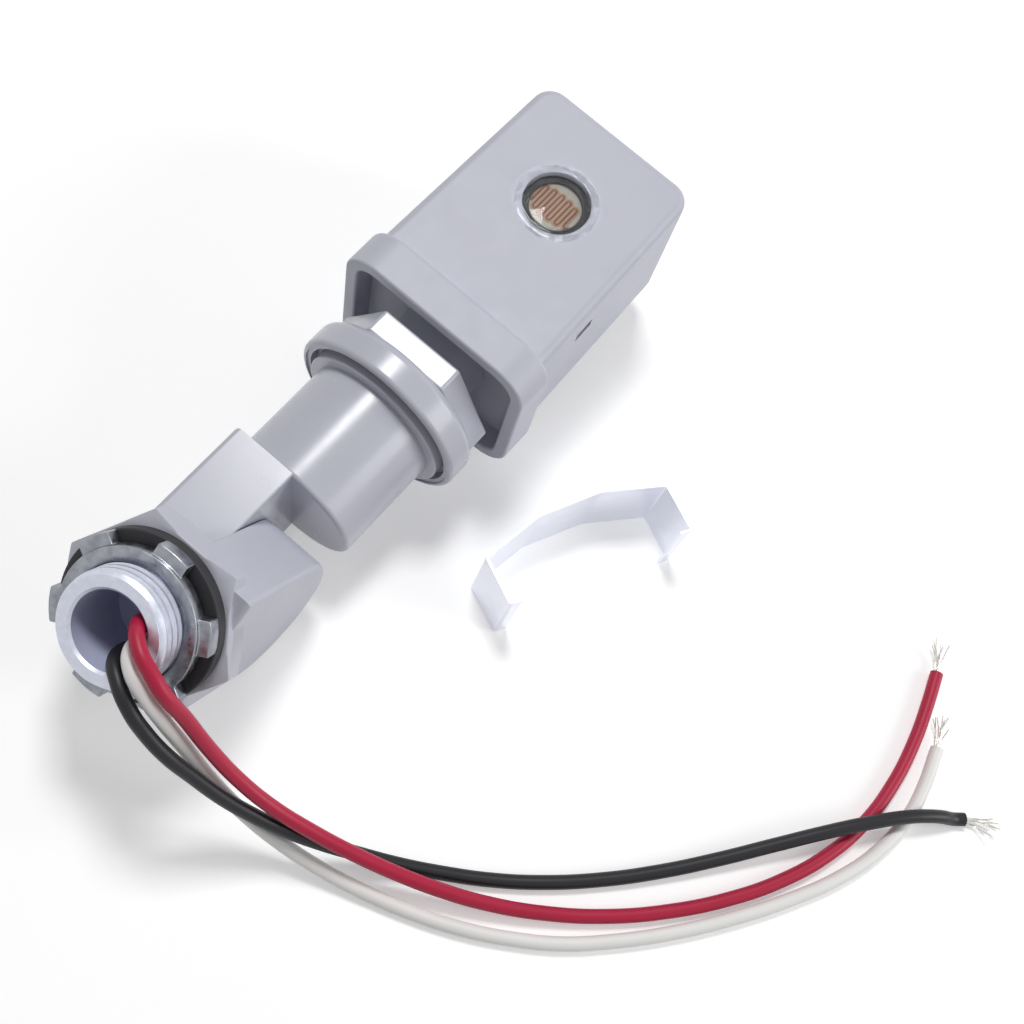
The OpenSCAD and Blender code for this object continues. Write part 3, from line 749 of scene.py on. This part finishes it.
# Works. A pressed-paper board carries a heater resistor under a bimetal blade, the brackets of its contact
# and a disc varistor; all are hidden by the cover.
works = {
    "circuit_board": ("pressed_paper_board", "#8a6b3c", "#9b7b49", 0.6, "board"),
    "heater_resistor": ("resistor_lacquer", "#4f7a60", "#5b866c", 0.35, "resistor"),
    "bimetal_blade": ("bimetal_strip", "#b08a56", "#bf9b68", 0.35, "bimetal"),
    "blade_bracket": ("brass_bracket", "#b8955a", "#c6a56c", 0.35, "bimetal"),
    "contact_bracket": ("contact_brass", "#b8955a", "#c6a56c", 0.35, "bimetal"),
    "surge_varistor": ("varistor_epoxy", "#2f4f86", "#3a5c95", 0.3, "varistor"),
}
for node, (name, colour, pale, roughness, slot) in works.items():
    component = rounded_copy(node, node + "_fitted", 0.0002, 2)
    component.data.materials.append(sprayed(name, colour, pale, roughness, 0.8, 0.00003))
    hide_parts(node)
    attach(component, "head")
cell_wires = rounded_copy("photocell_leads", "cell_wires", 0)
cell_wires.data.materials.append(tinned)
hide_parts("photocell_leads")
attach(cell_wires, "head")

# Photocell. A fired ceramic disc with a tan cadmium sulphide film; a dark winding line parts the film
# into two combs that run along the head.
cover_half = 17.2
lens_x = 96.2
cell_depth = 2
loops = 5
row_gap = 0.000925
bend = row_gap / 2
half_run = 0.0027
tail = 1.2
cell_r = 0.0062
ceramic = sprayed("fired_ceramic", "#9b968b", "#a6a196", 0.5, 0.5, 0.00003)
film = sprayed("cadmium_sulphide_film", "#8e6b50", "#99765a", 0.45, 0.3, 0.00002)
track_line = sprayed("dark_winding_line", "#4a2616", "#58301d", 0.5, 0.3, 0.00002)
disc = rounded_copy("photocell", "ceramic_disc", 0.0003)
disc.data.materials.append(ceramic)
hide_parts("photocell")
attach(disc, "head")

rows = [(k - loops) * row_gap for k in range(2 * loops + 1)]
spans = [half_run * math.sqrt(max(0.35, 1 - (row / cell_r) ** 2)) for row in rows]
corners = [(-tail * spans[0], rows[0])]
for k in range(1, len(rows)):
    side = -1 if k % 2 else 1
    for x, y in arc((0, 0), bend, -90, 90):
        corners.append((side * (spans[k - 1] + x), rows[k] - bend + y))
corners.append((-tail * spans[-1], rows[-1]))
cell_at = head @ (Vector((lens_x, 0, cover_half - cell_depth)) / 1000)
for name, width, height, finish in (
    ("cell_film", 0.00128, 0.00006, film),
    ("cell_track", 0.00042, 0.00012, track_line),
):
    track = curve_object(name, width, 3, finish)
    weave = track.data.splines.new("POLY")
    weave.points.add(len(corners) - 1)
    for point, (x, y) in zip(weave.points, corners):
        point.co = (x, y, 0, 1)
    track = as_mesh(track)
    flattened = Matrix.Diagonal((1, 1, height / width * 2, 1))
    track.data.transform(Matrix.Translation(cell_at) @ head_turn @ flattened)
    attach(track, "head")

# Lens seal. A thin black rubber ring that the lens presses on the face of the cell.
seal = rounded_copy("lens_seal", "rubber_lens_seal", 0.0002, 2)
seal.data.materials.append(rubber)
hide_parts("lens_seal")
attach(seal, "head")

# Cover. The upper half of the housing: a deep moulding with drafted sides and round edges, the lens opening
# and a small slot in each side for the clip's hooks.
cover_end = 117.2
cover_half_w = 20
cover_corner = 4.5
cover_edge = 2
cover_wall = 2
draft = math.tan(math.radians(1))
opening_r = 7
slot_start = cover_start + 12.5
slot_end = cover_start + 17.5
slot_low = 6.5
slot_high = 9.5
beyond = 30


def cover_block(name, inset, start):
    """The block of the cover, or of its hollow when drawn smaller by a wall."""
    far = cover_end - inset
    corner = cover_corner - inset / 2
    edge = cover_edge - inset / 2
    half_far = cover_half_w - inset - draft * (far - cover_start)
    near = start - 8
    half_near = cover_half_w - inset - draft * (near - cover_start)
    depth = cover_half - inset
    outline = [(near, -half_near)] + arc((far - corner, corner - half_far), corner, -90, 0, 10)
    outline += arc((far - corner, half_far - corner), corner, 0, 90, 10) + [(near, half_near)]
    block = extruded(name, [(x, y, -depth) for x, y in outline], (0, 0, 2 * depth))
    rounded(block, lambda p: p.z > depth - 0.01, edge, 6)
    rounded(block, lambda p: p.z < 0.01 - depth, edge, 6)
    waste = [(x, y, -beyond) for x, y in rectangle(near - 9, start, -beyond, beyond)]
    return combined(block, extruded("open_end", waste, (0, 0, 2 * beyond)), "DIFFERENCE")


cover = cover_block("moulded_cover", 0, cover_start)
combined(cover, cover_block("cover_room", cover_wall, cover_start - 1), "DIFFERENCE")
opening = turned("lens_opening", rod_profile(opening_r, 0, beyond), 64)
opening.data.transform(Matrix.Translation((lens_x, 0, 0)))
combined(cover, opening, "DIFFERENCE")
outline = rectangle(slot_start, slot_end, slot_low, slot_high)
clip_slots = extruded("clip_slots", [(x, -beyond, z) for x, z in outline], (0, 2 * beyond, 0))
combined(cover, clip_slots, "DIFFERENCE")
cover.data.materials.append(housing_plastic)
set_down(cover, head)
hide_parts("cover")
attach(cover, "head")

# Lens. A clear polycarbonate window with a bevelled rim on the cover and a skirt through the opening.
clear = bpy.data.materials.new("clear_polycarbonate")
clear.use_nodes = True
glass = clear.node_tree.nodes["Principled BSDF"]
glass.inputs["Base Color"].default_value = linear("#f8fafc")
glass.inputs["Transmission Weight"].default_value = 1
glass.inputs["IOR"].default_value = 1.1
glass.inputs["Coat Weight"].default_value = 0.4
glass.inputs["Coat Roughness"].default_value = 0.02
glass.inputs["Alpha"].default_value = 0.55
shined(clear, noise(clear, 0.003, 3.0), 0.0, 0.03)
underside = [(0, -1), (5.9, -1), (5.9, -1.4), (6.9, -1.4), (6.9, 0)]
rim = [(8.5, 0), (8.6, 0.1), (8.6, 0.3)] + arc((8.3, 0.3), 0.25, 0, 90, 4) + [(7.75, 0.55)]
bead = arc((7.3, 0.8), 0.3, 15, 90, 4) + arc((6.6, 0.8), 0.3, 90, 165, 4)
crown = [(6.1, 0.65), (3, 0.72), (0, 0.74)]
window = turned("clear_lens", underside + rim + bead + crown)
window.data.transform(Matrix.Translation((lens_x, 0, cover_half)))
window.data.materials.append(clear)
set_down(window, head)
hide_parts("lens")
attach(window, "head")

# Light shield clip. A strip of bright plated spring steel, folded to an arch with hooked legs. It is
# pushed over the lens to set the light level, and lies beside the switch.
strip_width = 16
strip_t = 0.6
strip_edge = 0.12
flat_run = 14.3
fold = math.radians(16)
leg = 10.4
hook = 2.6
bend_reach = 0.7
bend_steps = 6
clip_turn = math.radians(-24)
clip_at = (0.0755, -0.0431, floor_z)
along_strip = (0.15, 0.15, 1.0)
plated, streak = two_tone("bright_plated_strip", "#e4e7f3", "#f7f8fe", 0.0007, 5.0, along_strip, metallic=0.8)
shined(plated, streak, 0.26, 0.42)
shoulder_at = Vector((flat_run / 2 + flat_run * math.cos(fold), -flat_run * math.sin(fold)))
half_path = [Vector((flat_run / 2, 0)), shoulder_at]
half_path.append(shoulder_at + Vector((0, -leg)))
half_path.append(shoulder_at + Vector((-hook, -leg)))
path = [Vector((-p.x, p.y)) for p in reversed(half_path)] + half_path
centre_line = [(path[0], (path[1] - path[0]).normalized())]
for before, corner, after in zip(path, path[1:], path[2:]):
    came = (corner - before).normalized()
    goes = (after - corner).normalized()
    enter = corner - bend_reach * came
    leave = corner + bend_reach * goes
    for k in range(bend_steps + 1):
        t = k / bend_steps
        at = (1 - t) ** 2 * enter + 2 * t * (1 - t) * corner + t ** 2 * leave
        centre_line.append((at, ((1 - t) * came + t * goes).normalized()))
centre_line.append((path[-1], (path[-1] - path[-2]).normalized()))
outer = [at + strip_t / 2 * Vector((-heading.y, heading.x)) for at, heading in centre_line]
inner = [at - strip_t / 2 * Vector((-heading.y, heading.x)) for at, heading in centre_line]
clip = extruded("folded_clip", [(x, y, 0) for x, y in outer + inner[::-1]], (0, 0, strip_width))
rounded(clip, lambda p: p.z > strip_width - 0.01, strip_edge, 2)
rounded(clip, lambda p: p.z < 0.01, strip_edge, 2)
clip.data.materials.append(plated)
beside = Matrix.Translation(clip_at) @ Matrix.Rotation(clip_turn, 4, "Z")
set_down(clip, beside @ Matrix.Translation((0, -shoulder_at.y / 1000, 0)))
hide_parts("light_shield_clip")
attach(clip, "stem")
